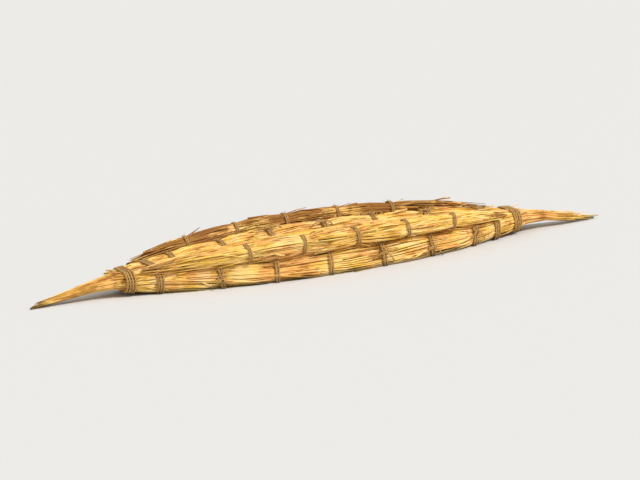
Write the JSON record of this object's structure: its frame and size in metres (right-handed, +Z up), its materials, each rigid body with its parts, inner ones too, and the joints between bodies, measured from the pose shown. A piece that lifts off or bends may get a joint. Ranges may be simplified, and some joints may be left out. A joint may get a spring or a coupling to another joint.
{
  "type": "reed boat",
  "caption": "Low double-ended boat of rope-bound dry reed bundles, with slim gunwale bundles along a shallow cockpit and loose reed points at bow and stern.",
  "frame": {"origin": "amidships on the centre plane, at the height of the flat underside", "axes": "+X towards the bow, +Y to the left side, +Z up"},
  "size_m": [3, 0.6036, 0.3174],
  "materials": {
    "hull_reeds": "dry straw reeds",
    "reed_ends": "loose dry reed ends",
    "grass_rope": "twisted dry grass"
  },
  "bodies": {
    "root": {"left_main_bundle": "hull_reeds", "right_main_bundle": "hull_reeds", "core_bundle": "hull_reeds", "left_gunwale_bundle": "hull_reeds", "right_gunwale_bundle": "hull_reeds", "stern_tip_reeds": "reed_ends", "bow_tip_reeds": "reed_ends", "left_hull_lashing_1": "grass_rope", "left_hull_lashing_2": "grass_rope", "left_hull_lashing_3": "grass_rope", "left_hull_lashing_4": "grass_rope", "left_hull_lashing_5": "grass_rope", "left_hull_lashing_6": "grass_rope", "right_hull_lashing_1": "grass_rope", "right_hull_lashing_2": "grass_rope", "right_hull_lashing_3": "grass_rope", "right_hull_lashing_4": "grass_rope", "right_hull_lashing_5": "grass_rope", "right_hull_lashing_6": "grass_rope", "left_gunwale_tie_1": "grass_rope", "left_gunwale_tie_2": "grass_rope", "left_gunwale_tie_3": "grass_rope", "left_gunwale_tie_4": "grass_rope", "left_gunwale_tie_5": "grass_rope", "right_gunwale_tie_1": "grass_rope", "right_gunwale_tie_2": "grass_rope", "right_gunwale_tie_3": "grass_rope", "right_gunwale_tie_4": "grass_rope", "right_gunwale_tie_5": "grass_rope", "stern_cross_lashing": "grass_rope", "stern_neck_binding": "grass_rope", "bow_cross_lashing": "grass_rope", "bow_neck_binding": "grass_rope"}
  },
  "joints": []
}
